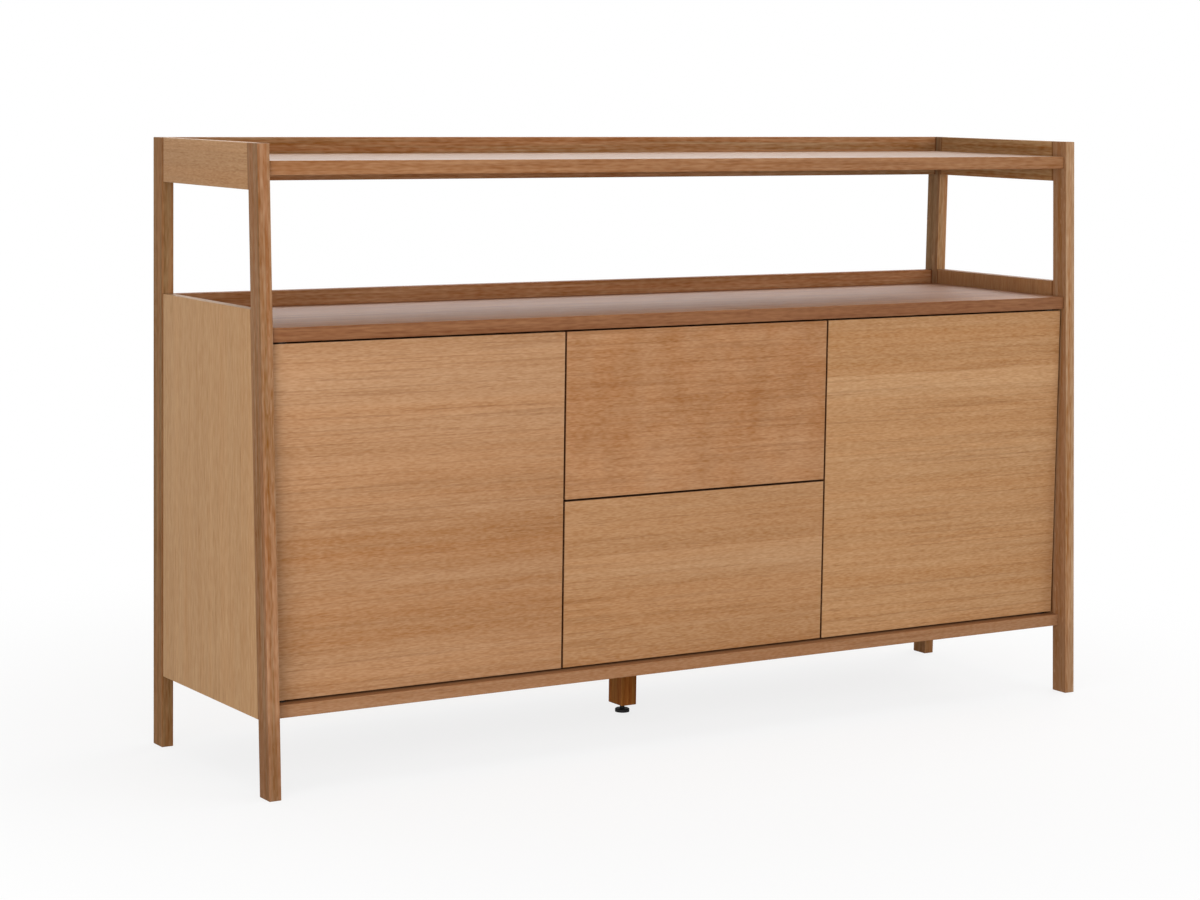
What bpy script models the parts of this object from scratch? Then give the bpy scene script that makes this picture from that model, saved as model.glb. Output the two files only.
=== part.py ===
"""Oak sideboard: a cabinet with two doors and two drawers, hung in a frame of four raked posts.

The posts rise past the cabinet top and carry an open shelf above it. The fronts have no handles:
each one stands on a push latch. Metres, +Z up, front towards -Y, origin on the floor midway
between the feet.
"""
from math import radians, tan

import bmesh
import bpy
from mathutils import Matrix, Vector

# Overall size
WIDTH = 1.600
FOOT_DEPTH = 0.431
FRONT_RAKE = radians(2.6)
REAR_RAKE = radians(0.4)

# Heights, stacked from the floor to the top of the posts
LEG_HEIGHT = 0.1175
BOTTOM_LIFT = 0.002
FRONT_HEIGHT = 0.5435
UPSTAND = 0.0265
BACK_UPSTAND = 0.0245
WINDOW_HEIGHT = 0.178
RAIL_HEIGHT = 0.070
SHELF_DROP = 0.026

# Posts, boards and rails
POST_WIDTH = 0.020
POST_DEPTH = 0.034
BOARD_THICKNESS = 0.020
TOP_THICKNESS = 0.0215
RAIL_THICKNESS = 0.020
BACK_THICKNESS = 0.008
PARTITION_THICKNESS = 0.020
EDGE_SETBACK = 0.0045
INFILL_SETBACK = 0.001
REAR_SETBACK = 0.001
BOTTOM_LEDGE = 0.0165

# Door and drawer fronts, set back from the posts and from each other
FRONT_THICKNESS = 0.020
FRONT_SETBACK = 0.0105
FRONT_GAP = 0.003
PARTITION_SETBACK = 0.002

# Centre leg and its levelling foot
CENTRE_LEG_WIDTH = 0.030
CENTRE_LEG_DEPTH = 0.042
CENTRE_LEG_OFFSET = 0.044
FOOT_DIAMETER = 0.025
FOOT_THICKNESS = 0.006
FOOT_CHAMFER = 0.0012
FOOT_REACH = 0.0085
STEM_DIAMETER = 0.008
STEM_INSERT = 0.030

# Door pivots: a flanged pin in the top and in the bottom edge of each door
PIN_DIAMETER = 0.008
PIN_IN_DOOR = 0.018
PIN_COVER = 0.008
FLANGE_INSET = 0.001
SWING_CLEARANCE = 0.0006

# Cupboard shelves on battens
SHELF_THICKNESS = 0.018
SHELF_SETBACK = 0.040
BATTEN_WIDTH = 0.012
BATTEN_HEIGHT = 0.020
BATTEN_SETBACK = 0.030

# Drawer boxes, grooved for their bottoms, on side-mounted runners
DRAWER_SIDE = 0.012
DRAWER_BOTTOM = 0.006
DRAWER_RISE = 0.020
DRAWER_DROP = 0.045
DRAWER_REAR_SPACE = 0.040
GROOVE_RISE = 0.010
GROOVE_DEPTH = 0.006
RUNNER_SPACE = 0.0127
RUNNER_HEIGHT = 0.045
RUNNER_GAUGE = 0.0012
RUNNER_REVEAL = 0.0032
RUNNER_PLAY = 0.0004

# Push latches, on the partitions behind each front
LATCH_LENGTH = 0.050
LATCH_HEIGHT = 0.012
LATCH_SETBACK = 0.008
LATCH_DROP = 0.030
LATCH_SIDE_CLEARANCE = 0.0024
PLUNGER_DIAMETER = 0.006
PLUNGER_CHAMFER = 0.0008
PLUNGER_INSERT = 0.020
PLUNGER_TRAVEL = 0.004

# Clearances and finish
FIT = 0.0003
BORE_END = 0.001
EASE = 0.0008
FINE_EASE = 0.0006
EASE_SEGMENTS = 2
ROUND_STEPS = 24
SHARP_ANGLE = radians(40.0)
MERGE_DISTANCE = 0.00001

# Finishes: linear base colour, roughness, metallic
FINISHES = {
    "oak_front": ((0.445, 0.242, 0.114), 0.45, 0.0),
    "oak_frame": ((0.330, 0.160, 0.076), 0.45, 0.0),
    "oak_inside": ((0.420, 0.230, 0.110), 0.55, 0.0),
    "drawer_wood": ((0.560, 0.380, 0.220), 0.55, 0.0),
    "steel": ((0.560, 0.570, 0.580), 0.35, 1.0),
    "black_plastic": ((0.012, 0.012, 0.013), 0.50, 0.0),
    "grey_plastic": ((0.180, 0.180, 0.180), 0.50, 0.0),
}

# Levels
BOTTOM_UNDER = LEG_HEIGHT + BOTTOM_LIFT
BOTTOM_TOP = BOTTOM_UNDER + BOARD_THICKNESS
FRONT_BOTTOM = BOTTOM_TOP + FRONT_GAP
FRONT_TOP = FRONT_BOTTOM + FRONT_HEIGHT
TOP_UNDER = FRONT_TOP + FRONT_GAP
TOP_SURFACE = TOP_UNDER + TOP_THICKNESS
PANEL_TOP = TOP_SURFACE + UPSTAND
RAIL_BOTTOM = PANEL_TOP + WINDOW_HEIGHT
HEIGHT = RAIL_BOTTOM + RAIL_HEIGHT
UPPER_SURFACE = HEIGHT - SHELF_DROP
UPPER_UNDER = UPPER_SURFACE - TOP_THICKNESS


def front_line(z):
    """Front face of the front posts, leaning forwards towards the floor."""
    return -FOOT_DEPTH / 2 + tan(FRONT_RAKE) * z


def rear_line(z):
    """Rear face of the rear posts, leaning backwards towards the floor."""
    return FOOT_DEPTH / 2 - tan(REAR_RAKE) * z


# Widths and depths that follow from the sizes above
INNER = WIDTH / 2 - POST_WIDTH
FRONT_WIDTH = (2 * INNER - 4 * FRONT_GAP) / 3
PARTITION_X = FRONT_WIDTH / 2 + FRONT_GAP / 2
PARTITION_OUT = PARTITION_X + PARTITION_THICKNESS / 2
PARTITION_IN = PARTITION_X - PARTITION_THICKNESS / 2
FRONT_FACE = front_line(FRONT_TOP) + FRONT_SETBACK
FRONT_BACK = FRONT_FACE + FRONT_THICKNESS
PARTITION_FACE = FRONT_BACK + PARTITION_SETBACK
LOWER_RAIL_BACK = rear_line(PANEL_TOP) - REAR_SETBACK
CABINET_BACK = LOWER_RAIL_BACK - RAIL_THICKNESS

PARTS = bpy.data.collections.new("sideboard")
CUTTERS = bpy.data.collections.new("sideboard_cutters")


def clear_scene():
    """Remove what the scene holds and add the two collections."""
    for obj in list(bpy.data.objects):
        bpy.data.objects.remove(obj, do_unlink=True)
    for collection in (PARTS, CUTTERS):
        bpy.context.scene.collection.children.link(collection)


def paint(obj, finish):
    """Give a part its own material in one of the finishes."""
    colour, roughness, metallic = FINISHES[finish]
    material = bpy.data.materials.new(obj.name + "_" + finish)
    material.use_nodes = True
    shader = material.node_tree.nodes["Principled BSDF"]
    shader.inputs["Base Color"].default_value = (*colour, 1.0)
    shader.inputs["Roughness"].default_value = roughness
    shader.inputs["Metallic"].default_value = metallic
    material.diffuse_color = (*colour, 1.0)
    obj.data.materials.append(material)


def place(name, bm, origin, parent=None):
    """Make an object from a bmesh in world coordinates, with its origin at the given point."""
    origin = Vector(origin)
    bmesh.ops.translate(bm, verts=bm.verts, vec=-origin)
    mesh = bpy.data.meshes.new(name)
    bm.to_mesh(mesh)
    bm.free()
    obj = bpy.data.objects.new(name, mesh)
    obj.location = origin
    if parent is not None:
        obj.parent = parent
        obj.location = origin - parent.location
    return obj


def add_part(name, bm, origin, finish, parent=None):
    """Add a piece of the sideboard in its finish."""
    obj = place(name, bm, origin, parent)
    PARTS.objects.link(obj)
    paint(obj, finish)
    return obj


def ease_edges(obj, width, segments):
    """Round the sharp edges of a part."""
    bevel = obj.modifiers.new("eased_edges", "BEVEL")
    bevel.width = width
    bevel.segments = segments


def box(x, front, rear, z):
    """Box between two x and two z values, its front and rear faces following lines in z."""
    bm = bmesh.new()
    bmesh.ops.create_cube(bm, size=2.0)
    for vert in bm.verts:
        level = z[0] if vert.co.z < 0 else z[1]
        face = front if vert.co.y < 0 else rear
        vert.co = Vector((x[0] if vert.co.x < 0 else x[1], face(level), level))
    return bm


def raked_board(name, x, front, rear, z, finish, origin=None, parent=None, ease=EASE):
    """Board with eased edges whose front and rear faces lean with the posts."""
    middle_z = (z[0] + z[1]) / 2
    middle = (sum(x) / 2, (front(middle_z) + rear(middle_z)) / 2, middle_z)
    obj = add_part(name, box(x, front, rear, z), origin or middle, finish, parent)
    ease_edges(obj, ease, EASE_SEGMENTS)
    return obj


def board(name, x, y, z, finish, **options):
    """Plumb board between two values on each axis."""
    return raked_board(name, x, lambda level: y[0], lambda level: y[1], z, finish, **options)


def turned(name, profile, origin, finish):
    """Round piece on a vertical axis, from (radius, height) points run from its top to its bottom."""
    bm = bmesh.new()
    points = [bm.verts.new((origin[0] + radius, origin[1], height)) for radius, height in profile]
    for upper, lower in zip(points, points[1:]):
        bm.edges.new((upper, lower))
    obj = add_part(name, bm, origin, finish)
    screw = obj.modifiers.new("turned", "SCREW")
    screw.axis = "Z"
    screw.steps = ROUND_STEPS
    screw.render_steps = ROUND_STEPS
    screw.use_merge_vertices = True
    screw.merge_threshold = MERGE_DISTANCE


def rod(start, axis, length, radius):
    """Closed cylinder that runs from a point along an axis."""
    bm = bmesh.new()
    sizes = {"radius1": radius, "radius2": radius, "depth": length}
    bmesh.ops.create_cone(bm, cap_ends=True, segments=ROUND_STEPS, **sizes)
    axis = Vector(axis)
    turn = axis.to_track_quat("Z", "Y").to_matrix().to_4x4()
    middle = Vector(start) + axis * (length / 2)
    bmesh.ops.transform(bm, matrix=Matrix.Translation(middle) @ turn, verts=bm.verts)
    return bm


def cut(obj, suffix, bm, origin):
    """Cut a bmesh shape out of a part."""
    cutter = place(obj.name + "_" + suffix, bm, origin)
    cutter.hide_render = True
    cutter.display_type = "WIRE"
    CUTTERS.objects.link(cutter)
    boolean = obj.modifiers.new(suffix, "BOOLEAN")
    boolean.operation = "DIFFERENCE"
    boolean.object = cutter


def bore(obj, suffix, mouth, axis, depth, diameter):
    """Cut a blind round hole that starts at a point on a face and runs along an axis."""
    start = Vector(mouth) - Vector(axis) * BORE_END
    cut(obj, suffix, rod(start, axis, depth + BORE_END, diameter / 2 + FIT), mouth)


def slide_empty(name, location):
    """Empty that a drawer's pieces hang from, on the line that the drawer runs along."""
    empty = bpy.data.objects.new(name, None)
    empty.location = location
    empty.empty_display_size = 0.05
    PARTS.objects.link(empty)
    return empty


def span(sign, near, far):
    """Range on the left (sign -1) or right (sign 1), from two distances to the middle."""
    return (near, far) if sign > 0 else (-far, -near)


SIDES = (("left", -1), ("right", 1))


def end_frame(side, sign):
    """Two raked posts with the end panel and the top rail fitted between them."""
    x = span(sign, INNER, WIDTH / 2)
    infill_x = span(sign, INNER, WIDTH / 2 - INFILL_SETBACK)

    def front_post_back(z):
        return front_line(z) + POST_DEPTH

    def rear_post_face(z):
        return rear_line(z) - POST_DEPTH

    def infill_face(z):
        return front_post_back(z) + FIT

    def infill_back(z):
        return rear_post_face(z) - FIT

    raked_board("front_" + side + "_post", x, front_line, front_post_back, (0.0, HEIGHT), "oak_frame")
    raked_board("rear_" + side + "_post", x, rear_post_face, rear_line, (0.0, HEIGHT), "oak_frame")
    raked_board(side + "_end_panel", infill_x, infill_face, infill_back, (LEG_HEIGHT, PANEL_TOP), "oak_front")
    raked_board(side + "_top_rail", infill_x, infill_face, infill_back, (RAIL_BOTTOM, HEIGHT), "oak_frame")


def carcass():
    """Boards and rails that run from one end frame to the other, and the partitions between them."""
    across = (-INNER + FIT, INNER - FIT)
    upper_rail_back = rear_line(HEIGHT) - REAR_SETBACK
    upper_rail_y = (upper_rail_back - RAIL_THICKNESS, upper_rail_back)
    shelf_y = (front_line(UPPER_SURFACE) + EDGE_SETBACK, upper_rail_y[0] - FIT)
    board("upper_back_rail", across, upper_rail_y, (RAIL_BOTTOM, HEIGHT), "oak_frame")
    board("upper_shelf", across, shelf_y, (UPPER_UNDER, UPPER_SURFACE), "oak_front")
    lower_rail_top = TOP_SURFACE + BACK_UPSTAND
    lower_rail_z = (lower_rail_top - RAIL_HEIGHT, lower_rail_top)
    back_z = (BOTTOM_UNDER, lower_rail_z[0] - FIT)
    board("lower_back_rail", across, (CABINET_BACK, LOWER_RAIL_BACK), lower_rail_z, "oak_frame")
    board("back_panel", across, (CABINET_BACK, CABINET_BACK + BACK_THICKNESS), back_z, "oak_inside")
    top_y = (front_line(TOP_SURFACE) + EDGE_SETBACK, CABINET_BACK - FIT)
    bottom_y = (FRONT_FACE - BOTTOM_LEDGE, CABINET_BACK - FIT)
    top = board("cabinet_top", across, top_y, (TOP_UNDER, TOP_SURFACE), "oak_front")
    bottom = board("cabinet_bottom", across, bottom_y, (BOTTOM_UNDER, BOTTOM_TOP), "oak_frame")
    for side, sign in SIDES:
        x = span(sign, PARTITION_IN, PARTITION_OUT)
        y = (PARTITION_FACE, CABINET_BACK - FIT)
        board(side + "_partition", x, y, (BOTTOM_TOP + FIT, TOP_UNDER - FIT), "oak_inside", ease=FINE_EASE)
    return top, bottom


def centre_leg():
    """Square leg under the middle of the cabinet, standing on a screw foot."""
    x = (-CENTRE_LEG_WIDTH / 2, CENTRE_LEG_WIDTH / 2)
    y = (CENTRE_LEG_OFFSET - CENTRE_LEG_DEPTH / 2, CENTRE_LEG_OFFSET + CENTRE_LEG_DEPTH / 2)
    leg_end = FOOT_THICKNESS + FOOT_REACH
    mouth = (0.0, CENTRE_LEG_OFFSET, leg_end)
    leg = board("centre_leg", x, y, (leg_end, BOTTOM_UNDER - FIT), "oak_frame")
    bore(leg, "stem_bore", mouth, (0, 0, 1), STEM_INSERT + BORE_END, STEM_DIAMETER)
    stem = STEM_DIAMETER / 2
    pad = FOOT_DIAMETER / 2
    stem_top = leg_end + STEM_INSERT
    profile = [
        (0.0, stem_top),
        (stem, stem_top),
        (stem, FOOT_THICKNESS),
        (pad - FOOT_CHAMFER, FOOT_THICKNESS),
        (pad, FOOT_THICKNESS - FOOT_CHAMFER),
        (pad, 0.0),
        (0.0, 0.0),
    ]
    turned("levelling_foot", profile, (0.0, CENTRE_LEG_OFFSET, 0.0), "black_plastic")


def pivot(name, x, y, pin_end, flange, seat_end):
    """Flanged pin between a door's edge and the board beyond it, in any vertical order."""
    radius = PIN_DIAMETER / 2
    wide = FRONT_THICKNESS / 2 - FLANGE_INSET
    top, bottom = max(pin_end, seat_end), min(pin_end, seat_end)
    profile = [
        (0.0, top),
        (radius, top),
        (radius, max(flange)),
        (wide, max(flange)),
        (wide, min(flange)),
        (radius, min(flange)),
        (radius, bottom),
        (0.0, bottom),
    ]
    turned(name, profile, (x, y, min(flange)), "steel")


def door(side, sign, top, bottom):
    """Plain slab door on two pivot pins, its origin on their axis."""
    swing_gap = FRONT_GAP - SWING_CLEARANCE
    pivot_inset = ((FRONT_THICKNESS / 2) ** 2 - swing_gap ** 2) / (2 * swing_gap)
    hinge_edge = INNER - FRONT_GAP
    x = sign * (hinge_edge - pivot_inset)
    y = FRONT_FACE + FRONT_THICKNESS / 2
    leaf_x = span(sign, hinge_edge - FRONT_WIDTH, hinge_edge)
    leaf_y = (FRONT_FACE, FRONT_BACK)
    leaf_z = (FRONT_BOTTOM, FRONT_TOP)
    name = side + "_door"
    leaf = board(name, leaf_x, leaf_y, leaf_z, "oak_front", origin=(x, y, FRONT_BOTTOM))
    top_seat = TOP_THICKNESS - PIN_COVER
    bottom_seat = BOARD_THICKNESS - PIN_COVER
    hole_in_door = PIN_IN_DOOR + BORE_END
    bore(leaf, "top_pin_bore", (x, y, FRONT_TOP), (0, 0, -1), hole_in_door, PIN_DIAMETER)
    bore(leaf, "bottom_pin_bore", (x, y, FRONT_BOTTOM), (0, 0, 1), hole_in_door, PIN_DIAMETER)
    bore(top, side + "_pin_bore", (x, y, TOP_UNDER), (0, 0, 1), top_seat + BORE_END, PIN_DIAMETER)
    bore(bottom, side + "_pin_bore", (x, y, BOTTOM_TOP), (0, 0, -1), bottom_seat + BORE_END, PIN_DIAMETER)
    top_flange = (FRONT_TOP + FIT, TOP_UNDER - FIT)
    bottom_flange = (BOTTOM_TOP + FIT, FRONT_BOTTOM - FIT)
    pivot(name + "_top_pivot", x, y, FRONT_TOP - PIN_IN_DOOR, top_flange, TOP_UNDER + top_seat)
    pivot(name + "_bottom_pivot", x, y, FRONT_BOTTOM + PIN_IN_DOOR, bottom_flange, BOTTOM_TOP - bottom_seat)


def cupboard_shelf(side, sign):
    """Shelf halfway up a cupboard, lying on a batten at each end."""
    middle = (BOTTOM_TOP + TOP_UNDER) / 2
    z = (middle - SHELF_THICKNESS / 2, middle + SHELF_THICKNESS / 2)
    y = (FRONT_BACK + SHELF_SETBACK, CABINET_BACK - FIT)
    near, far = PARTITION_OUT + FIT, INNER - FIT
    board(side + "_shelf", span(sign, near, far), y, z, "oak_inside", ease=FINE_EASE)
    batten_y = (y[0] + BATTEN_SETBACK, y[1] - BATTEN_SETBACK)
    batten_z = (z[0] - FIT - BATTEN_HEIGHT, z[0] - FIT)
    outer_x = span(sign, far - BATTEN_WIDTH, far)
    inner_x = span(sign, near, near + BATTEN_WIDTH)
    board(side + "_shelf_outer_batten", outer_x, batten_y, batten_z, "oak_inside", ease=FINE_EASE)
    board(side + "_shelf_inner_batten", inner_x, batten_y, batten_z, "oak_inside", ease=FINE_EASE)


def push_latch(name, x, z, width):
    """Latch body on a partition, with a sprung plunger that stands against the back of a front."""
    face = PARTITION_FACE + LATCH_SETBACK
    body_x = (x - width / 2, x + width / 2)
    body_y = (face, face + LATCH_LENGTH)
    body_z = (z - LATCH_HEIGHT / 2, z + LATCH_HEIGHT / 2)
    body = board(name + "_latch_body", body_x, body_y, body_z, "grey_plastic", ease=FINE_EASE)
    depth = PLUNGER_INSERT + PLUNGER_TRAVEL + BORE_END
    bore(body, "plunger_bore", (x, face, z), (0, 1, 0), depth, PLUNGER_DIAMETER)
    tip = (x, FRONT_BACK + FIT, z)
    shaft = rod(tip, (0, 1, 0), face + PLUNGER_INSERT - tip[1], PLUNGER_DIAMETER / 2)
    plunger = add_part(name + "_latch_plunger", shaft, tip, "grey_plastic")
    plunger.data.shade_smooth()
    plunger.data.set_sharp_from_angle(angle=SHARP_ANGLE)
    ease_edges(plunger, PLUNGER_CHAMFER, 1)


def runner(name, x, y, z, open_sign, parent=None):
    """Channel of sheet steel along a drawer's side, open towards open_sign on X."""
    bm = box(x, lambda level: y[0], lambda level: y[1], z)
    ends = [face for face in bm.faces if abs(face.normal.y) > 0.5 or face.normal.x * open_sign > 0.5]
    bmesh.ops.delete(bm, geom=ends, context="FACES")
    obj = add_part(name, bm, (sum(x) / 2, sum(y) / 2, sum(z) / 2), "steel", parent)
    sheet = obj.modifiers.new("sheet", "SOLIDIFY")
    sheet.thickness = RUNNER_GAUGE
    sheet.offset = -1.0
    sheet.use_even_offset = True


def drawer(name, front_z):
    """Drawer box behind its front, with a runner on each side; all but the fixed runners move."""
    box_z = (front_z[0] + DRAWER_RISE, front_z[1] - DRAWER_DROP)
    box_back = CABINET_BACK - DRAWER_REAR_SPACE
    outer = PARTITION_IN - RUNNER_SPACE
    inner = outer - DRAWER_SIDE
    slide = slide_empty(name + "_slide", (0.0, FRONT_FACE, front_z[0]))
    wood = {"parent": slide, "ease": FINE_EASE}
    x = (-FRONT_WIDTH / 2, FRONT_WIDTH / 2)
    front = board(name + "_front", x, (FRONT_FACE, FRONT_BACK), front_z, "oak_front", parent=slide)
    grooved = [front]
    for side, sign in SIDES:
        side_x = span(sign, inner, outer)
        side_y = (FRONT_BACK + FIT, box_back)
        grooved.append(board(name + "_" + side + "_side", side_x, side_y, box_z, "drawer_wood", **wood))
    bottom_z = (box_z[0] + GROOVE_RISE, box_z[0] + GROOVE_RISE + DRAWER_BOTTOM)
    bottom_x = (-inner - GROOVE_DEPTH, inner + GROOVE_DEPTH)
    bottom_y = (FRONT_BACK - GROOVE_DEPTH, box_back)
    board(name + "_bottom", bottom_x, bottom_y, bottom_z, "drawer_wood", **wood)
    back_x = (-inner + FIT, inner - FIT)
    back_y = (box_back - DRAWER_SIDE, box_back)
    board(name + "_back", back_x, back_y, (bottom_z[1] + FIT, box_z[1]), "drawer_wood", **wood)
    groove_x = (bottom_x[0] - FIT, bottom_x[1] + FIT)
    groove_y = (bottom_y[0] - FIT, box_back + BORE_END)
    groove_z = (bottom_z[0] - FIT, bottom_z[1] + FIT)
    for piece in grooved:
        groove = box(groove_x, lambda level: groove_y[0], lambda level: groove_y[1], groove_z)
        cut(piece, "bottom_groove", groove, (0.0, box_back, groove_z[0]))
    middle = (box_z[0] + box_z[1]) / 2
    fixed_z = (middle - RUNNER_HEIGHT / 2, middle + RUNNER_HEIGHT / 2)
    moving_z = (fixed_z[0] + RUNNER_GAUGE + RUNNER_PLAY, fixed_z[1] - RUNNER_GAUGE - RUNNER_PLAY)
    y = (PARTITION_FACE, box_back)
    for side, sign in SIDES:
        fixed_x = span(sign, outer + RUNNER_REVEAL, PARTITION_IN - FIT)
        moving_x = span(sign, outer + FIT, PARTITION_IN - RUNNER_REVEAL)
        runner(name + "_" + side + "_runner_fixed", fixed_x, y, fixed_z, -sign)
        runner(name + "_" + side + "_runner_moving", moving_x, y, moving_z, sign, parent=slide)
    return box_z[1]


def build():
    """Assemble the sideboard."""
    clear_scene()
    top, bottom = carcass()
    centre_leg()
    latch_width = RUNNER_SPACE - LATCH_SIDE_CLEARANCE - FIT
    door_latch_x = PARTITION_OUT + FIT + latch_width / 2
    drawer_latch_x = PARTITION_IN - FIT - latch_width / 2
    for side, sign in SIDES:
        end_frame(side, sign)
        door(side, sign, top, bottom)
        cupboard_shelf(side, sign)
        push_latch(side + "_door", sign * door_latch_x, FRONT_TOP - LATCH_DROP, latch_width)
    drawer_height = (FRONT_HEIGHT - FRONT_GAP) / 2
    upper_z = (FRONT_TOP - drawer_height, FRONT_TOP)
    lower_z = (FRONT_BOTTOM, FRONT_BOTTOM + drawer_height)
    for name, front_z, sign in (("upper_drawer", upper_z, -1), ("lower_drawer", lower_z, 1)):
        box_top = drawer(name, front_z)
        push_latch(name, sign * drawer_latch_x, box_top - LATCH_DROP, latch_width)


build()
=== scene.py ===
import itertools
import math

import bpy
from mathutils import Matrix, Vector


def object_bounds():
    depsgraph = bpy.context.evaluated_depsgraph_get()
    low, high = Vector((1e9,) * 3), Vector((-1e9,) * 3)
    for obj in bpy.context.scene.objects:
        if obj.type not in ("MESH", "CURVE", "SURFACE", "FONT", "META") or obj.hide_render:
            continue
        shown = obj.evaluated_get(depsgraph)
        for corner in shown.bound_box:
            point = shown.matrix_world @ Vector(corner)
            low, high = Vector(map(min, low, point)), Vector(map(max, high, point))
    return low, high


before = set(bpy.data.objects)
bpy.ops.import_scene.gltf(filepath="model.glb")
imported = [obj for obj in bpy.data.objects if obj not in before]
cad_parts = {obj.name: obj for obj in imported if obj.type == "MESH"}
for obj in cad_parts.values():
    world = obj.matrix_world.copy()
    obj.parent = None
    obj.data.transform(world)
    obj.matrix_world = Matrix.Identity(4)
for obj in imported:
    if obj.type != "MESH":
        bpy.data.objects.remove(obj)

CAD_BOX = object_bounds()

# Camera, fitted to the photograph's 1200 x 900 frame
CAMERA_PLACE = (-2.6202, -3.9559, 1.0870)
CAMERA_YAW = math.radians(-31.8039)
CAMERA_PITCH = math.radians(-6.2065)
CAMERA_ROLL = math.radians(0.7215)
SENSOR_WIDTH = 36.0
LENS = 84.5475
SHIFT_X = 0.035398
SHIFT_Y = -0.05495

# Posts, as in the solids
FRONT_RAKE = math.radians(2.6)
REAR_RAKE = math.radians(0.4)
POST_DEPTH = 0.034
POST_WIDTH = 0.020

SIDES = ("left", "right")
AXES = {"X": Vector((1, 0, 0)), "Y": Vector((0, 1, 0)), "Z": Vector((0, 0, 1))}
WHITE = (1.0, 1.0, 1.0, 1.0)

# Sockets of a Mix node that mixes colours
MIX_SHARE = 0
MIX_FIRST = 6
MIX_SECOND = 7
MIX_RESULT = 2

# Middle of every noise, and of the tones from deep to light
MIDDLE_TONE = 0.5

# Noise: the step from one piece's stretch of it to the next (along, across, into the board), the cells
# per metre of the slow waves in the grain, and the step to a veneer's next leaf
SEED_STEP = (7.3, 3.1, 1.7)
WAVE_SIZE = (2.1, 6.0, 6.0)
LEAF_STEP = 2.7

# Values of the noise between which each mark sets in
PORE_RANGE = (0.56, 0.70)
LINE_RANGE = (0.58, 0.70)
RAY_RANGE = (0.58, 0.70)
STREAK_RANGE = (0.40, 0.60)
WAVE_RANGE = (0.42, 0.64)
FLECK_RANGE = (0.35, 0.65)
TINT_RANGE = (0.36, 0.64)

# Shares of the marks that are left where streaks and waves hold them back, and the deepest tone
PORES_LEFT = 0.15
RAYS_LEFT = 0.25
LINES_LEFT = 0.1
LOWEST_TONE = -0.6

# Parts of a face's normal between which it counts as front, as upper face, or as flat and no arris
FRONT_RANGE = (0.3, 0.7)
UPPER_RANGE = (0.6, 0.9)
FLAT_RANGE = (0.80, 0.985)

# Painted shadow in joints and painted shade at the feet: metres over which it fades, its share in a joint
SEAM_SHADOW_REACH = (0.0020, 0.0050)
SEAM_SHADOW_SHARE = 0.9
FOOT_SHADE_REACH = (0.08, 0.15)

# Surface of the wood: spread of roughness, roughness of pores, height of flecks, depth of the relief
WOOD_SPREAD = 0.16
PORE_ROUGHNESS = 0.14
FLECK_HEIGHT = 0.4
WOOD_RELIEF = 0.00010

# Metal and plastic: mottling and grain in cells per metre, relief in metres, paler arrises
MOTTLE_SIZE = (60.0, 60.0, 60.0)
DRAWN_GRAIN = (900, 60, 900)
UPRIGHT_GRAIN = (900, 900, 60)
MOULDED_GRAIN = (1500, 1500, 1500)
METAL_RELIEF = 0.00004
PLASTIC_RELIEF = 0.00005
PLAIN_SPREAD = 0.2
ARRIS_SHARE = 0.35
ARRIS_LIFT = 1.3

# Studio: strength of the world's light, reach of the floor, its tones and the fading of its shadow
WORLD_LIGHT = 0.25
FLOOR_REACH = 14.0
FLOOR_BOUNCE = 0.34
FLOOR_SHADE = 0.9
SHADOW_REACH = (0.7, 1.7)
SHADOW_SHARE = 0.20
CABINET_MIDDLE = (0, 0, 0.5)


def srgb(red, green, blue):
    """A colour given in 0-255 screen values, as the linear values that shaders take."""
    linear = []
    for value in (red, green, blue):
        share = value / 255.0
        if share <= 0.04045:
            linear.append(share / 12.92)
        else:
            linear.append(((share + 0.055) / 1.055) ** 2.4)
    return (*linear, 1.0)


def toned(colour, shares):
    """A colour with each of its three parts scaled."""
    return (*(part * share for part, share in zip(colour, shares)), 1.0)


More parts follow.
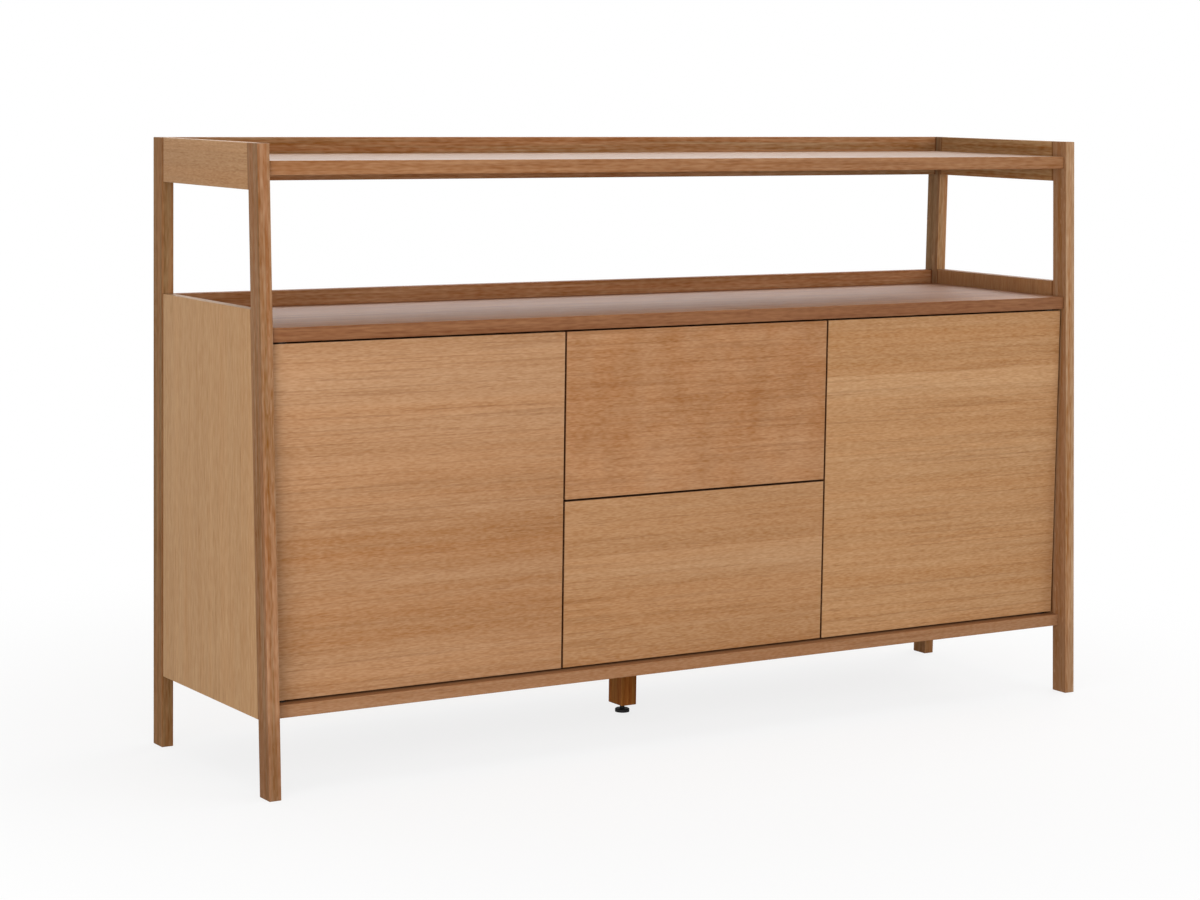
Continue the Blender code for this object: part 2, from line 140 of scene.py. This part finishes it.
class Graph:
    """The node tree of a material or world, with a short method for each kind of node used here."""

    def __init__(self, owner):
        owner.use_nodes = True
        self.tree = owner.node_tree
        self.tree.nodes.clear()

    def add(self, kind, **settings):
        node = self.tree.nodes.new(kind)
        for name, value in settings.items():
            setattr(node, name, value)
        return node

    def feed(self, socket, value):
        if isinstance(value, bpy.types.NodeSocket):
            self.tree.links.new(value, socket)
        else:
            socket.default_value = value

    def math(self, operation, first, second=0.0):
        node = self.add("ShaderNodeMath", operation=operation)
        self.feed(node.inputs[0], first)
        self.feed(node.inputs[1], second)
        return node.outputs[0]

    def swing(self, noise, share):
        """A noise as a swing round zero, times a share."""
        return self.math("MULTIPLY", self.math("SUBTRACT", noise, MIDDLE_TONE), share)

    def spread(self, noise, middle, width):
        """A noise spread over a width round a middle value."""
        node = self.add("ShaderNodeMath", operation="MULTIPLY_ADD")
        self.feed(node.inputs[0], noise)
        node.inputs[1].default_value = width
        node.inputs[2].default_value = middle - width / 2
        return node.outputs[0]

    def scaled(self, vector, scale):
        node = self.add("ShaderNodeVectorMath", operation="MULTIPLY")
        self.feed(node.inputs[0], vector)
        node.inputs[1].default_value = scale
        return node.outputs[0]

    def noise(self, vector, scale, detail=0.0, roughness=0.5):
        node = self.add("ShaderNodeTexNoise", noise_dimensions="3D")
        self.feed(node.inputs["Vector"], self.scaled(vector, scale))
        node.inputs["Scale"].default_value = 1.0
        node.inputs["Detail"].default_value = detail
        node.inputs["Roughness"].default_value = roughness
        return node.outputs[0]

    def ramp(self, value, low, high, bottom=0.0, top=1.0, shape="SMOOTHSTEP"):
        node = self.add("ShaderNodeMapRange", interpolation_type=shape)
        self.feed(node.inputs["Value"], value)
        node.inputs["From Min"].default_value = low
        node.inputs["From Max"].default_value = high
        node.inputs["To Min"].default_value = bottom
        node.inputs["To Max"].default_value = top
        return node.outputs[0]

    def mix(self, share, first, second, blend="MIX"):
        node = self.add("ShaderNodeMix", data_type="RGBA", blend_type=blend)
        self.feed(node.inputs[MIX_SHARE], share)
        self.feed(node.inputs[MIX_FIRST], first)
        self.feed(node.inputs[MIX_SECOND], second)
        return node.outputs[MIX_RESULT]

    def combine(self, x, y, z):
        node = self.add("ShaderNodeCombineXYZ")
        for socket, value in zip(node.inputs, (x, y, z)):
            self.feed(socket, value)
        return node.outputs[0]

    def separate(self, vector):
        node = self.add("ShaderNodeSeparateXYZ")
        self.feed(node.inputs[0], vector)
        return node.outputs

    def position(self):
        """The place on the object, in metres."""
        return self.add("ShaderNodeTexCoord").outputs["Object"]

    def shader(self, colour, roughness, height, depth, **constants):
        """A Principled shader with the pattern on its colour, roughness and bump."""
        bump = self.add("ShaderNodeBump")
        bump.inputs["Strength"].default_value = 1.0
        bump.inputs["Distance"].default_value = depth
        self.feed(bump.inputs["Height"], height)
        bsdf = self.add("ShaderNodeBsdfPrincipled")
        self.feed(bsdf.inputs["Base Color"], colour)
        self.feed(bsdf.inputs["Roughness"], roughness)
        self.feed(bsdf.inputs["Normal"], bump.outputs[0])
        for name, value in constants.items():
            bsdf.inputs[name.replace("_", " ")].default_value = value
        self.output("ShaderNodeOutputMaterial", bsdf.outputs[0])

    def glow(self, kind, strength):
        """White light of a given strength, from a background or an emission."""
        node = self.add(kind)
        node.inputs["Color"].default_value = WHITE
        node.inputs["Strength"].default_value = strength
        return node.outputs[0]

    def matt(self, shade):
        """A plain grey matt surface."""
        node = self.add("ShaderNodeBsdfDiffuse")
        node.inputs["Color"].default_value = (shade, shade, shade, 1.0)
        return node.outputs[0]

    def blend(self, share, first, second):
        """Two shaders in one, with a share of the second."""
        node = self.add("ShaderNodeMixShader")
        for socket, value in zip(node.inputs, (share, first, second)):
            self.feed(socket, value)
        return node.outputs[0]

    def output(self, kind, surface):
        node = self.add(kind)
        self.feed(node.inputs["Surface"], surface)


# Wood

def wood_place(graph, along, across, rake, seed):
    """Coordinates in metres: first along the grain, then across the face, then into the board."""
    turned = Matrix.Rotation(rake, 3, "X")
    first = turned @ AXES[along]
    second = turned @ AXES[across]
    third = first.cross(second)
    turn = Matrix((first, second, third))
    mapping = graph.add("ShaderNodeMapping", vector_type="POINT")
    mapping.inputs["Rotation"].default_value = turn.to_euler("XYZ")
    mapping.inputs["Location"].default_value = [step * seed for step in SEED_STEP]
    coordinates = graph.add("ShaderNodeTexCoord")
    graph.feed(mapping.inputs["Vector"], coordinates.outputs["Object"])
    return mapping.outputs[0], coordinates.outputs["Normal"]


def eased_edge(graph, normal):
    """1 on the small rounded arrises, 0 on the flat faces."""
    sides = []
    for part in graph.separate(normal):
        sides.append(graph.math("ABSOLUTE", part))
    flat = graph.math("MAXIMUM", graph.math("MAXIMUM", sides[0], sides[1]), sides[2])
    return graph.ramp(flat, *FLAT_RANGE, 1.0, 0.0)


def painted_seam_shadow(graph, axis, start, rise):
    """The share of painted shadow in a joint that runs upright along axis = start + rise * z."""
    places = graph.separate(graph.position())
    line = graph.math("ADD", graph.math("MULTIPLY", places["Z"], rise), start)
    away = graph.math("ABSOLUTE", graph.math("SUBTRACT", places[axis], line))
    return graph.ramp(away, *SEAM_SHADOW_REACH, SEAM_SHADOW_SHARE, 0.0)


def band_tone(graph, level, bands, origin):
    """The broad stripes across a front: a tone for each level, with straight ramps between them."""
    low, high = bands[0][0], bands[-1][0]
    share = graph.ramp(level, low + origin, high + origin, shape="LINEAR")
    node = graph.add("ShaderNodeValToRGB")
    stops = node.color_ramp.elements
    while len(stops) < len(bands):
        stops.new(MIDDLE_TONE)
    for stop, (place, tone) in zip(stops, bands):
        stop.position = (place - low) / (high - low)
        grey = MIDDLE_TONE + tone
        stop.color = (grey, grey, grey, 1.0)
    graph.feed(node.inputs[0], share)
    return graph.math("SUBTRACT", node.outputs[0], MIDDLE_TONE)


def figure_tone(graph, fibres, figure):
    """The layers of the figure, added up round a middle tone, and the finest of them alone."""
    tone = MIDDLE_TONE
    for length, width, share in figure:
        layer = graph.noise(fibres, (length, width, width))
        tone = graph.math("ADD", tone, graph.swing(layer, share))
    return tone, layer


def face_tones(graph, colour, normal, wood):
    """Painted shade on sides, feet and the shelf's and bottom's upper faces; a paler cabinet top face."""
    facing = graph.separate(normal)
    # Painted shade on the faces that turn sideways
    if wood["flank"]:
        shaded_side = graph.ramp(graph.math("ABSOLUTE", facing[1]), *FRONT_RANGE, wood["flank"], 0.0)
        colour = graph.mix(shaded_side, colour, wood["flank_tone"])
    # Upper faces scaled: painted shade on the shelf and bottom board, a paler face on the cabinet top
    if wood["upper"]:
        upper = graph.mix(1.0, colour, (*wood["upper"], 1.0), "MULTIPLY")
        colour = graph.mix(graph.ramp(facing[2], *UPPER_RANGE), colour, upper)
    # Painted shade towards the floor
    if wood["foot"]:
        height = graph.separate(graph.position())[2]
        colour = graph.mix(graph.ramp(height, *FOOT_SHADE_REACH, wood["foot"], 0.0), colour, wood["dark"])
    return colour


def grain_marks(graph, colour, fibres, wave, wood):
    """Rows of pores, fine dark lines and pale ray marks over the colour, and the pores alone."""
    streak = graph.noise(fibres, wood["streak_size"], detail=2.0, roughness=0.6)
    pore = graph.noise(fibres, wood["pore_size"], detail=2.0, roughness=0.6)
    ray = graph.noise(fibres, wood["ray_size"], detail=2.0, roughness=0.6)
    line = graph.noise(fibres, wood["line_size"])
    held = graph.ramp(streak, *STREAK_RANGE, PORES_LEFT, 1.0)
    pores = graph.math("MULTIPLY", graph.ramp(pore, *PORE_RANGE), held)
    colour = graph.mix(graph.math("MULTIPLY", pores, wood["pores"]), colour, wood["dark"])
    held = graph.ramp(wave, *WAVE_RANGE, LINES_LEFT, wood["lines"])
    lines = graph.math("MULTIPLY", graph.ramp(line, *LINE_RANGE), held)
    colour = graph.mix(lines, colour, wood["dark"])
    held = graph.ramp(streak, *STREAK_RANGE, 1.0, RAYS_LEFT)
    rays = graph.math("MULTIPLY", graph.ramp(ray, *RAY_RANGE), held)
    colour = graph.mix(graph.math("MULTIPLY", rays, wood["rays"]), colour, wood["pale"])
    return colour, pores


def oak(name, along, across, seed, wood, rake=0.0, joints=(), bands=(), seams=()):
    """Oiled oak: figure, pores, ray marks, fine lines, worn pale arrises and painted shade on dark ones.

    joints are the levels where two veneer leaves meet, bands the (level, tone) of the leaves' broad
    stripes, and seams the (axis, place, rise with z) of upright joints along which a shadow is painted.
    """
    material = bpy.data.materials.new(name)
    graph = Graph(material)
    place, normal = wood_place(graph, along, across, rake, seed)
    run, level, into = graph.separate(place)
    origin = SEED_STEP[1] * seed

    # Slow waves in the grain, and a fresh stretch of it in each leaf
    wave = graph.noise(place, WAVE_SIZE, detail=1.0)
    side = graph.math("ADD", level, graph.swing(wave, wood["sway"]))
    for joint in joints:
        beyond = graph.math("GREATER_THAN", level, joint + origin)
        run = graph.math("ADD", run, graph.math("MULTIPLY", beyond, LEAF_STEP))
    fibres = graph.combine(run, side, into)

    tone, fine = figure_tone(graph, fibres, wood["figure"])
    if bands:
        tone = graph.math("ADD", tone, band_tone(graph, level, bands, origin))
    colour = graph.mix(graph.math("MAXIMUM", tone, LOWEST_TONE), wood["deep"], wood["light"])
    colour.node.clamp_factor = False
    tint = graph.noise(fibres, wood["tint_size"], detail=1.0)
    hue = graph.mix(graph.ramp(tint, *TINT_RANGE), wood["cool"], wood["warm"])
    colour = graph.mix(1.0, colour, hue, "MULTIPLY")
    colour = face_tones(graph, colour, normal, wood)
    colour, pores = grain_marks(graph, colour, fibres, wave, wood)
    # Arrises: pale ones are wear, dark ones are painted shade that damps their sheen or darkens the gaps
    wear = graph.ramp(fine, *FLECK_RANGE, *wood["wear"])
    worn_and_shaded = graph.math("MULTIPLY", eased_edge(graph, normal), wear)
    colour = graph.mix(worn_and_shaded, colour, wood[wood["arris"]])
    # Painted shadow along the upright joints
    for seam in seams:
        colour = graph.mix(painted_seam_shadow(graph, *seam), colour, wood["dark"])

    roughness = graph.spread(fine, wood["rough"], WOOD_SPREAD)
    roughness = graph.math("ADD", roughness, graph.math("MULTIPLY", pores, PORE_ROUGHNESS))
    height = graph.math("SUBTRACT", graph.math("MULTIPLY", fine, FLECK_HEIGHT), pores)
    graph.shader(colour, roughness, height, WOOD_RELIEF, Specular_IOR_Level=wood["gloss"])
    return material


# The figure's layers: noise cells per metre along and across the grain, and their share of the tone
VENEER = (
    (0.5, 9.0, 0.30), (0.5, 20.0, 0.38), (1.0, 40.0, 0.32), (2.4, 90.0, 0.38),
    (5.0, 170.0, 0.35), (50.0, 180.0, 0.12), (110.0, 520.0, 1.00),
)
MOTTLED = (
    (0.5, 9.0, 0.20), (20.0, 6.0, 0.50), (24.0, 18.0, 0.45), (5.0, 40.0, 0.34), (4.0, 90.0, 0.32),
    (6.0, 170.0, 0.40), (50.0, 180.0, 0.25), (110.0, 520.0, 1.15),
)
UPRIGHT = (
    (0.5, 8.0, 0.20), (1.5, 30.0, 0.20), (5.0, 70.0, 0.25), (24.0, 140.0, 0.30), (50.0, 300.0, 0.70),
)
STREAKED = (
    (0.4, 10.0, 0.45), (3.0, 24.0, 0.60), (0.9, 60.0, 0.80),
    (2.4, 170.0, 1.60), (14.0, 330.0, 1.10), (60.0, 360.0, 1.40),
)
BOARD = (
    (0.4, 10.0, 0.50), (0.8, 40.0, 0.60), (2.4, 130.0, 1.20), (14.0, 300.0, 1.00), (60.0, 360.0, 1.30),
)


def oak_kind(red, green, blue, **changes):
    """A kind of oak by its middle tone, with the range of tones, the figure and the gloss it has."""
    middle = srgb(red, green, blue)
    made = {
        "light": toned(middle, (1.16, 1.26, 1.40)),
        "deep": toned(middle, (0.85, 0.75, 0.62)),
        "pale": toned(middle, (1.24, 1.40, 1.62)),
        "dark": toned(middle, (0.50, 0.38, 0.28)),
        "warm": (1.012, 0.998, 0.982, 1.0),
        "cool": (0.988, 1.002, 1.018, 1.0),
        "figure": VENEER,
        "streak_size": (1.4, 75.0, 75.0),
        "pore_size": (22.0, 420.0, 420.0),
        "ray_size": (60.0, 380.0, 380.0),
        "line_size": (3.2, 260.0, 260.0),
        "tint_size": (0.8, 40.0, 40.0),
        "sway": 0.006,
        "pores": 0.36,
        "rays": 0.42,
        "lines": 0.25,
        # Tone of the arrises: pale is wear, the dark tones are painted shade
        "arris": "pale",
        "wear": (0.04, 0.16),
        # Painted shade on the sides and towards the feet, and scales for the upper faces
        "flank": 0.0,
        "flank_tone": (0.0, 0.0, 0.0, 1.0),
        "upper": None,
        "foot": 0.0,
        "rough": 0.42,
        "gloss": 0.20,
    }
    made.update(changes)
    return made


# Veneered fronts, with painted shade on their edges and arrises so the gaps between them look dark
FRONT = {
    "flank": 0.85,
    "flank_tone": (0.04, 0.006, 0.0, 1.0),
    "arris": "flank_tone",
    "wear": (0.55, 0.85),
    "gloss": 0.06,
}
LEFT_PANEL = oak_kind(175, 129, 90, **FRONT)
RIGHT_PANEL = oak_kind(186, 140, 97, **FRONT)
LOWER_PANEL = oak_kind(179, 133, 92, **FRONT)
UPPER_PANEL = oak_kind(174, 125, 85, figure=MOTTLED, tint_size=(16.0, 18.0, 18.0), **FRONT)

# Solid posts and rails, some calmer in hue, with painted shade on their dark arrises
SOLID = {
    "figure": STREAKED,
    "gloss": 0.04,
    "rough": 0.52,
    "tint_size": (1.6, 120.0, 120.0),
    "warm": (1.06, 0.97, 0.92, 1.0),
    "cool": (0.94, 1.03, 1.06, 1.0),
    "arris": "dark",
    "wear": (0.25, 0.50),
}
CALM = {**SOLID, "warm": (1.03, 0.985, 0.96, 1.0), "cool": (0.97, 1.015, 1.04, 1.0)}
SHADED_ARRIS = {**CALM, "wear": (0.45, 0.75)}
FRONT_POST = oak_kind(156, 115, 82, flank=0.24, flank_tone=(0.09, 0.03, 0.0, 1.0), foot=0.35, **SOLID)
RIGHT_POST = oak_kind(174, 133, 97, flank=0.6, flank_tone=(0.21, 0.088, 0.033, 1.0), foot=0.3, **SHADED_ARRIS)
REAR_POST = oak_kind(135, 96, 60, **SOLID)
RIGHT_REAR_POST = oak_kind(171, 126, 86, flank=0.48, foot=0.34, **SOLID)
UPPER_BACK = oak_kind(165, 120, 82, **SOLID)
LOWER_BACK = oak_kind(162, 111, 73, **CALM)
LEFT_RAIL = oak_kind(173, 130, 89, gloss=0.06)
RIGHT_RAIL = oak_kind(160, 119, 78, **CALM)
CENTRE = oak_kind(144, 86, 36, **SOLID)

# End panels, boards, inside and drawers; the shelf's and bottom's upper faces darkened as painted shade
END = oak_kind(182, 140, 97, gloss=0.06, lines=0.10, figure=UPRIGHT)
RIGHT_END = oak_kind(155, 111, 73, gloss=0.06, figure=UPRIGHT)
TOP = oak_kind(131, 83, 48, rough=0.55, gloss=0.24, upper=(1.4, 1.45, 1.3), figure=BOARD)
SHELF = oak_kind(154, 107, 70, rough=0.36, gloss=0.093, upper=(0.82, 0.88, 0.90), figure=BOARD)
BOTTOM = oak_kind(
    161, 116, 81, rough=0.52, gloss=0.04, arris="dark", wear=(0.20, 0.45), upper=(0.72, 0.66, 0.58),
)
INSIDE = oak_kind(172, 128, 84)
DRAWER = oak_kind(196, 158, 114)

# Broad stripes of the fronts: height in metres and tone, which changes at once where two leaves meet
RIGHT_DOOR_JOINT = 0.589
LOWER_DRAWER_JOINT = 0.319
LEFT_DOOR_BANDS = (
    (0.142, 0.0), (0.19, 0.15), (0.23, -0.3), (0.31, 0.05), (0.36, -0.22),
    (0.47, 0.1), (0.56, 0.33), (0.61, 0.33), (0.686, 0.15),
)
RIGHT_DOOR_BANDS = (
    (0.142, 0.0), (0.30, -0.05), (0.44, 0.1), (0.53, 0.05), (0.588, 0.45), (0.590, -0.15), (0.686, -0.15),
)
UPPER_DRAWER_BANDS = (
    (0.415, 0.2), (0.48, 0.2), (0.51, -0.05), (0.60, 0.0), (0.62, 0.1), (0.65, 0.1), (0.686, 0.0),
)
LOWER_DRAWER_BANDS = (
    (0.142, -0.2), (0.17, -0.05), (0.20, -0.05), (0.26, 0.1),
    (0.318, 0.25), (0.320, -0.12), (0.412, -0.02),
)

# Upright joints between the posts and their infill, where a shadow is painted: axis, place at the floor,
# rise with z
FRONT_SEAM = ("Y", CAD_BOX[0][1] + POST_DEPTH, math.tan(FRONT_RAKE))
REAR_SEAM = ("Y", CAD_BOX[1][1] - POST_DEPTH, -math.tan(REAR_RAKE))
POST_SEAMS = (FRONT_SEAM, REAR_SEAM)
RAIL_SEAMS = (("X", CAD_BOX[0][0] + POST_WIDTH, 0.0), ("X", CAD_BOX[1][0] - POST_WIDTH, 0.0))

SEEDS = itertools.count(1)


def set_material(node, material):
    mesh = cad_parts[node].data
    mesh.materials.clear()
    mesh.materials.append(material)


def finish_wood(node, along, across, kind, **extra):
    """Oak for one node, with its own stretch of the noise."""
    set_material(node, oak("oak_" + node, along, across, next(SEEDS), kind, **extra))


finish_wood("left_door", "X", "Z", LEFT_PANEL, bands=LEFT_DOOR_BANDS)
finish_wood("right_door", "X", "Z", RIGHT_PANEL, joints=(RIGHT_DOOR_JOINT,), bands=RIGHT_DOOR_BANDS)
finish_wood("upper_drawer_front", "X", "Z", UPPER_PANEL, bands=UPPER_DRAWER_BANDS)
finish_wood(
    "lower_drawer_front", "X", "Z", LOWER_PANEL, joints=(LOWER_DRAWER_JOINT,), bands=LOWER_DRAWER_BANDS,
)
finish_wood("left_end_panel", "Z", "Y", END, seams=POST_SEAMS)
finish_wood("right_end_panel", "Z", "Y", RIGHT_END, seams=POST_SEAMS)
finish_wood("front_left_post", "Z", "X", FRONT_POST, rake=-FRONT_RAKE)
finish_wood("front_right_post", "Z", "X", RIGHT_POST, rake=-FRONT_RAKE)
finish_wood("rear_left_post", "Z", "X", REAR_POST, rake=REAR_RAKE)
finish_wood("rear_right_post", "Z", "X", RIGHT_REAR_POST, rake=REAR_RAKE)
finish_wood("left_top_rail", "Y", "Z", LEFT_RAIL, seams=POST_SEAMS)
finish_wood("right_top_rail", "Y", "Z", RIGHT_RAIL, seams=POST_SEAMS)
finish_wood("upper_back_rail", "X", "Z", UPPER_BACK, seams=RAIL_SEAMS)
finish_wood("lower_back_rail", "X", "Z", LOWER_BACK, seams=RAIL_SEAMS)
finish_wood("upper_shelf", "X", "Y", SHELF)
finish_wood("cabinet_top", "X", "Y", TOP)
finish_wood("cabinet_bottom", "X", "Y", BOTTOM)
finish_wood("back_panel", "X", "Z", INSIDE)
for side in SIDES:
    finish_wood(f"{side}_partition", "Z", "Y", INSIDE)
for side in SIDES:
    finish_wood(f"{side}_shelf", "X", "Y", INSIDE)
for side in SIDES:
    for end in ("outer", "inner"):
        finish_wood(f"{side}_shelf_{end}_batten", "Y", "Z", INSIDE)
finish_wood("centre_leg", "Z", "X", CENTRE)
for level in ("upper", "lower"):
    for side in SIDES:
        finish_wood(f"{level}_drawer_{side}_side", "Y", "Z", DRAWER)
    finish_wood(f"{level}_drawer_back", "X", "Z", DRAWER)
    finish_wood(f"{level}_drawer_bottom", "X", "Y", DRAWER)


# Metal and plastic

def plain_finish(name, light, deep, grain, rough, depth, metallic=0.0, gloss=0.5):
    """Metal or moulded plastic: mottled colour, fine surface grain, uneven gloss and paler arrises."""
    material = bpy.data.materials.new(name)
    graph = Graph(material)
    coordinates = graph.add("ShaderNodeTexCoord")
    place = coordinates.outputs["Object"]
    mottle = graph.noise(place, MOTTLE_SIZE, detail=3.0)
    surface = graph.noise(place, grain, detail=2.0)
    colour = graph.mix(mottle, deep, light)
    edge = graph.math("MULTIPLY", eased_edge(graph, coordinates.outputs["Normal"]), ARRIS_SHARE)
    paler = (*(min(1.0, ARRIS_LIFT * part) for part in light[:3]), 1.0)
    colour = graph.mix(edge, colour, paler)
    roughness = graph.spread(surface, rough, PLAIN_SPREAD)
    graph.shader(colour, roughness, surface, depth, Metallic=metallic, Specular_IOR_Level=gloss)
    return material


STEEL = plain_finish(
    "zinc_steel", srgb(205, 207, 210), srgb(176, 178, 182),
    grain=DRAWN_GRAIN, rough=0.38, depth=METAL_RELIEF, metallic=1.0,
)
DARK_STEEL = plain_finish(
    "dark_steel", srgb(52, 48, 44), srgb(34, 31, 29),
    grain=UPRIGHT_GRAIN, rough=0.5, depth=METAL_RELIEF, metallic=1.0,
)
BLACK = plain_finish(
    "black_plastic", srgb(16, 14, 13), srgb(8, 7, 7),
    grain=MOULDED_GRAIN, rough=0.6, depth=PLASTIC_RELIEF, gloss=0.2,
)
GREY = plain_finish(
    "grey_plastic", srgb(150, 151, 152), srgb(132, 133, 135),
    grain=MOULDED_GRAIN, rough=0.48, depth=PLASTIC_RELIEF,
)

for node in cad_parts:
    if "runner" in node:
        set_material(node, STEEL)
    elif node.endswith("_pivot"):
        set_material(node, DARK_STEEL)
    elif node == "levelling_foot":
        set_material(node, BLACK)
    elif "_latch_" in node:
        set_material(node, GREY)

# World, floor and lamps
scene = bpy.context.scene


def ray_choice(graph):
    """1 for rays that show the background, 0 for rays that only light the object."""
    path = graph.add("ShaderNodeLightPath")
    seen = graph.math("MAXIMUM", path.outputs["Is Camera Ray"], path.outputs["Is Glossy Ray"])
    return graph.math("MAXIMUM", seen, path.outputs["Is Transmission Ray"])


def studio_world():
    """White where it is seen, and a weak even light on the object."""
    world = bpy.data.worlds.new("studio")
    graph = Graph(world)
    shown = graph.glow("ShaderNodeBackground", 1.0)
    lighting = graph.glow("ShaderNodeBackground", WORLD_LIGHT)
    graph.output("ShaderNodeOutputWorld", graph.blend(ray_choice(graph), lighting, shown))
    return world


def floor_finish():
    """White with a faint shadow near the object, and clear from below so that the underside shows."""
    material = bpy.data.materials.new("pale_floor")
    graph = Graph(material)
    away = graph.add("ShaderNodeVectorMath", operation="LENGTH")
    graph.feed(away.inputs[0], graph.position())
    share = graph.ramp(away.outputs["Value"], *SHADOW_REACH, SHADOW_SHARE, 0.0)
    shown = graph.blend(share, graph.glow("ShaderNodeEmission", 1.0), graph.matt(FLOOR_SHADE))
    above = graph.blend(ray_choice(graph), graph.matt(FLOOR_BOUNCE), shown)
    below = graph.add("ShaderNodeBsdfTransparent").outputs[0]
    from_below = graph.add("ShaderNodeNewGeometry").outputs["Backfacing"]
    graph.output("ShaderNodeOutputMaterial", graph.blend(from_below, above, below))
    return material


def softbox(name, place, width, height, power, target=CABINET_MIDDLE, sheen=True, diffuse=True):
    """A rectangular lamp that the camera doesn't see; sheen and diffuse say which rays see it."""
    lamp = bpy.data.lights.new(name, "AREA")
    lamp.shape = "RECTANGLE"
    lamp.size = width
    lamp.size_y = height
    lamp.energy = power
    holder = bpy.data.objects.new(name, lamp)
    holder.location = place
    holder.rotation_mode = "QUATERNION"
    holder.rotation_quaternion = (Vector(target) - Vector(place)).to_track_quat("-Z", "Y")
    holder.visible_camera = False
    holder.visible_diffuse = diffuse
    holder.visible_glossy = sheen
    scene.collection.objects.link(holder)


scene.world = studio_world()

floor_mesh = bpy.data.meshes.new("floor")
floor_corners = [
    (-FLOOR_REACH, -FLOOR_REACH, 0),
    (FLOOR_REACH, -FLOOR_REACH, 0),
    (FLOOR_REACH, FLOOR_REACH, 0),
    (-FLOOR_REACH, FLOOR_REACH, 0),
]
floor_mesh.from_pydata(floor_corners, [], [(0, 1, 2, 3)])
floor_mesh.materials.append(floor_finish())
floor = bpy.data.objects.new("floor", floor_mesh)
scene.collection.objects.link(floor)

softbox("key", (-2.2, -4.2, 3.0), 3.0, 2.2, 37)
softbox("fill", (3.2, -3.6, 2.2), 2.6, 2.0, 49)
softbox("low_left", (-3.6, -2.4, 0.8), 2.4, 1.4, 93)
softbox("low_front", (-0.6, -4.4, 0.8), 4.4, 1.4, 36)
softbox("right", (4.4, -0.4, 1.6), 2.4, 2.0, 45)
softbox("overhead", (0, -0.2, 3.4), 3.4, 2.2, 30, target=(0, 0, 0.7))
softbox("rear_sky", (0.15, 3.0, 3.2), 6.0, 1.6, 190, target=(0, 0, 0.75), diffuse=False)
softbox("low_rear", (0, 4.4, 0.7), 4.4, 1.4, 110, sheen=False)
softbox("rear_right", (3.8, 1.8, 2.4), 2.0, 1.6, 50, target=(0.6, 0, 0.75))

# Camera
camera_data = bpy.data.cameras.new("camera")
camera_data.sensor_fit = "HORIZONTAL"
camera_data.sensor_width = SENSOR_WIDTH
camera_data.lens = LENS
camera_data.shift_x = SHIFT_X
camera_data.shift_y = SHIFT_Y
camera = bpy.data.objects.new("camera", camera_data)
camera.matrix_world = (
    Matrix.Translation(CAMERA_PLACE)
    @ Matrix.Rotation(CAMERA_YAW, 4, "Z")
    @ Matrix.Rotation(math.pi / 2 + CAMERA_PITCH, 4, "X")
    @ Matrix.Rotation(CAMERA_ROLL, 4, "Z")
)
scene.collection.objects.link(camera)
scene.camera = camera

scene.view_settings.view_transform = "Standard"
